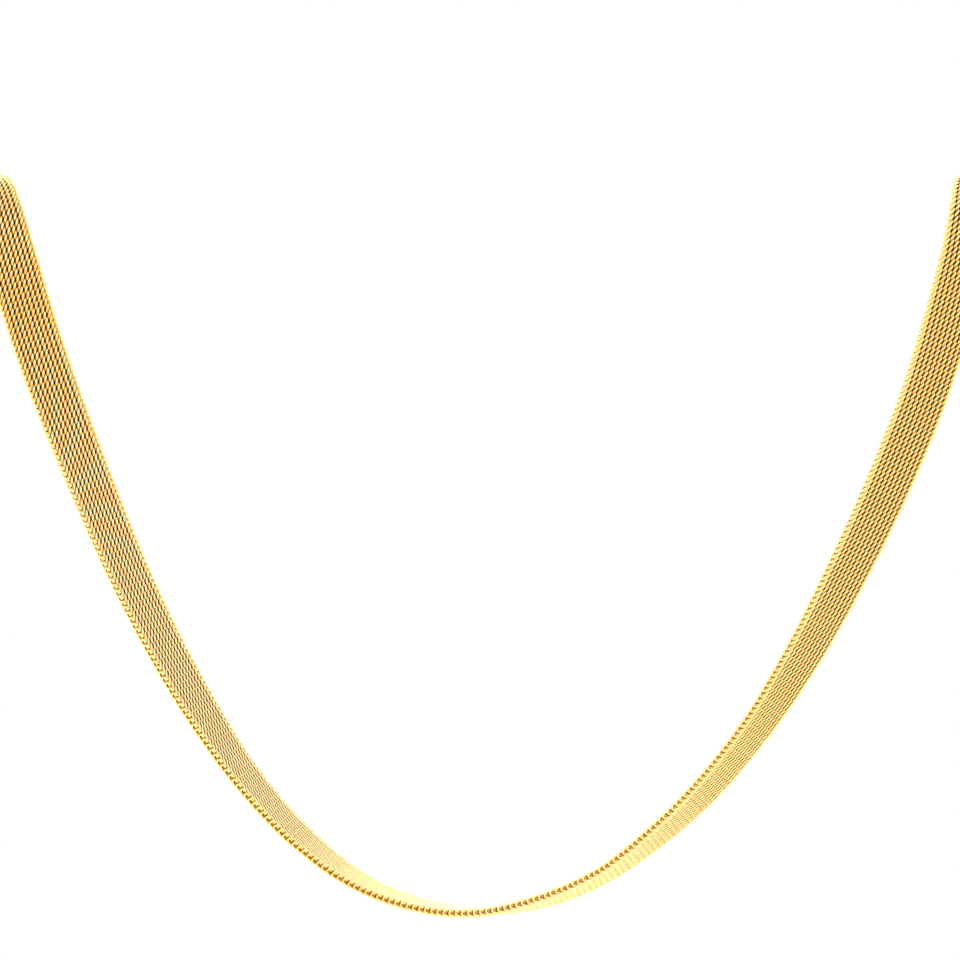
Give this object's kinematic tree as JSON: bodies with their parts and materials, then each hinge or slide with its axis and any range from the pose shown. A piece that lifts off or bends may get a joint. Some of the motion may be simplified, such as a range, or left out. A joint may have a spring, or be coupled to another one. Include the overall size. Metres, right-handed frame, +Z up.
{
  "type": "flat woven band necklace",
  "caption": "Gold-coloured necklace: one flat band of fine woven wire that hangs in a deep curve, turned on edge at the bottom, with a plain clasp at the nape.",
  "frame": {"origin": "middle of the wearer's neck, level with the crests where the band turns from the sides down to the front", "axes": "+X to the wearer's left, +Y to the wearer's back, +Z up along the neck"},
  "size_m": [0.1355, 0.0693, 0.1289],
  "materials": {
    "woven_wire": "bright gold-coloured plating on fine woven wire",
    "clasp_metal": "polished gold-coloured plating"
  },
  "bodies": {
    "root": {"woven_band": "woven_wire", "clasp": "clasp_metal"}
  },
  "joints": []
}
